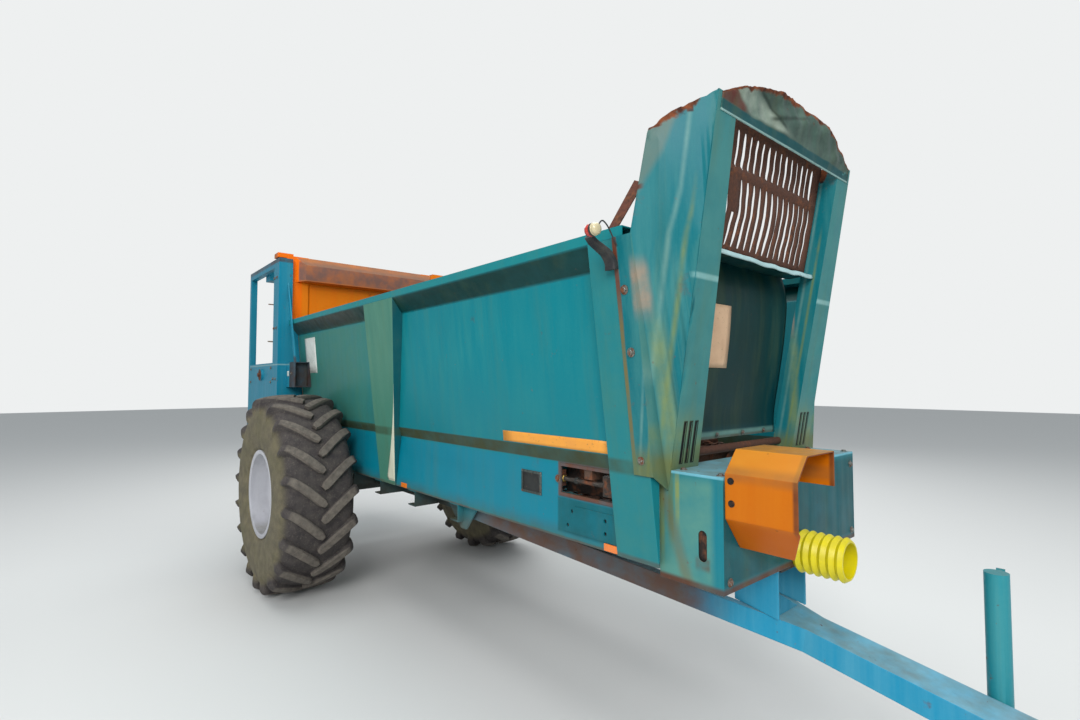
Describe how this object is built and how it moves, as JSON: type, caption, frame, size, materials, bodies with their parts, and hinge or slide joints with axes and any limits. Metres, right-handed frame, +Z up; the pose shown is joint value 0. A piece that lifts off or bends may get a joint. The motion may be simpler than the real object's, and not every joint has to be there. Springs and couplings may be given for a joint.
{
  "type": "manure spreader",
  "caption": "Trailed rear-discharge manure spreader: narrow sheet body on one axle, floor chain, lifting gate and upright beaters, worn teal paint",
  "frame": {"origin": "middle of the machine's length and width, at the ground under the tyres", "axes": "+X forward along the drawbar, +Y to the machine's left, +Z up"},
  "size_m": [7.298, 2.56, 3],
  "materials": {
    "body_paint": "worn teal paint with rust and moss",
    "faded_paint": "sun-faded teal paint",
    "drawbar_paint": "light blue repaint",
    "orange_paint": "orange paint, scuffed",
    "rusty_steel": "rusted bare steel",
    "dark_iron": "greasy dark iron",
    "bright_steel": "plated rod",
    "rim_paint": "silver-grey rim paint, chalky",
    "tyre": "aged brown-grey rubber",
    "yellow_plastic": "ribbed yellow guard",
    "red_lens": "red lamp lens",
    "clear_lens": "white lamp lens",
    "amber_lens": "amber reflector",
    "black_rubber": "moulded rubber arm"
  },
  "bodies": {
    "root": {"side_left": "body_paint", "side_right": "body_paint", "posts_left": "faded_paint", "posts_right": "faded_paint", "pillar_left": "body_paint", "pillar_right": "body_paint", "headboard": "body_paint", "grille": "rusty_steel", "visor": "body_paint", "front_box": "body_paint", "gearbox_cover": "orange_paint", "floor_sheet": "rusty_steel", "floor_chain": "rusty_steel", "chain_shafts": "dark_iron", "tensioner_left": "dark_iron", "tensioner_right": "dark_iron", "rear_bearings": "dark_iron", "gate_post_left": "body_paint", "gate_post_right": "body_paint", "side_beam_left": "body_paint", "side_beam_right": "body_paint", "gate_barrels": "dark_iron", "beater_wall_left": "body_paint", "beater_wall_right": "body_paint", "beater_frame": "body_paint", "top_beam": "body_paint", "beater_table": "body_paint", "gear_case": "dark_iron", "axle": "body_paint", "brakes": "dark_iron", "underframe": "body_paint", "drawbar": "drawbar_paint", "hitch_eye": "rusty_steel", "front_gearbox": "dark_iron", "gearbox_brackets": "drawbar_paint", "pto_guard": "yellow_plastic", "rear_lamps": "red_lens", "clearance_lamps": "clear_lens", "lamp_arms": "black_rubber", "side_reflectors": "amber_lens", "jack_housing": "body_paint"},
    "gate": {"gate": "orange_paint", "gate_rods": "bright_steel"},
    "beater_left": {"beater_left": "rusty_steel", "flights_left": "rusty_steel"},
    "beater_right": {"beater_right": "rusty_steel", "flights_right": "rusty_steel"},
    "driveline": {"driveline": "dark_iron"},
    "wheel_left": {"tyre_left": "tyre", "rim_left": "rim_paint", "hub_left": "dark_iron"},
    "wheel_right": {"tyre_right": "tyre", "rim_right": "rim_paint", "hub_right": "dark_iron"},
    "jack_leg": {"jack_leg": "bright_steel"}
  },
  "joints": [
    {"name": "wheel_left_spin", "type": "hinge", "parent": "root", "child": "wheel_left", "pos_m": [-1.699, 1, 0.805], "axis": [0, 1, 0], "continuous": true},
    {"name": "wheel_right_spin", "type": "hinge", "parent": "root", "child": "wheel_right", "pos_m": [-1.699, -1, 0.805], "axis": [0, 1, 0], "continuous": true},
    {"name": "beater_right_spin", "type": "hinge", "parent": "root", "child": "beater_right", "pos_m": [-3.119, -0.44, 1.9], "axis": [0, 0, 1], "continuous": true},
    {"name": "beater_left_spin", "type": "hinge", "parent": "root", "child": "beater_left", "pos_m": [-3.119, 0.44, 1.9], "axis": [0, 0, 1], "continuous": true},
    {"name": "driveline_spin", "type": "hinge", "parent": "root", "child": "driveline", "pos_m": [-0.699, 0, 0.945], "axis": [1, 0, 0], "continuous": true},
    {"name": "gate_lift", "type": "slide", "parent": "root", "child": "gate", "axis": [0, 0, 1], "range_m": [0, 1.15]},
    {"name": "jack_retract", "type": "slide", "parent": "root", "child": "jack_leg", "axis": [0, 0, 1], "range_m": [0, 0.3]}
  ],
  "couplings": [
    {"joint": "beater_left_spin", "follows": "beater_right_spin", "ratio": -1},
    {"joint": "driveline_spin", "follows": "beater_right_spin", "ratio": 2.5}
  ]
}
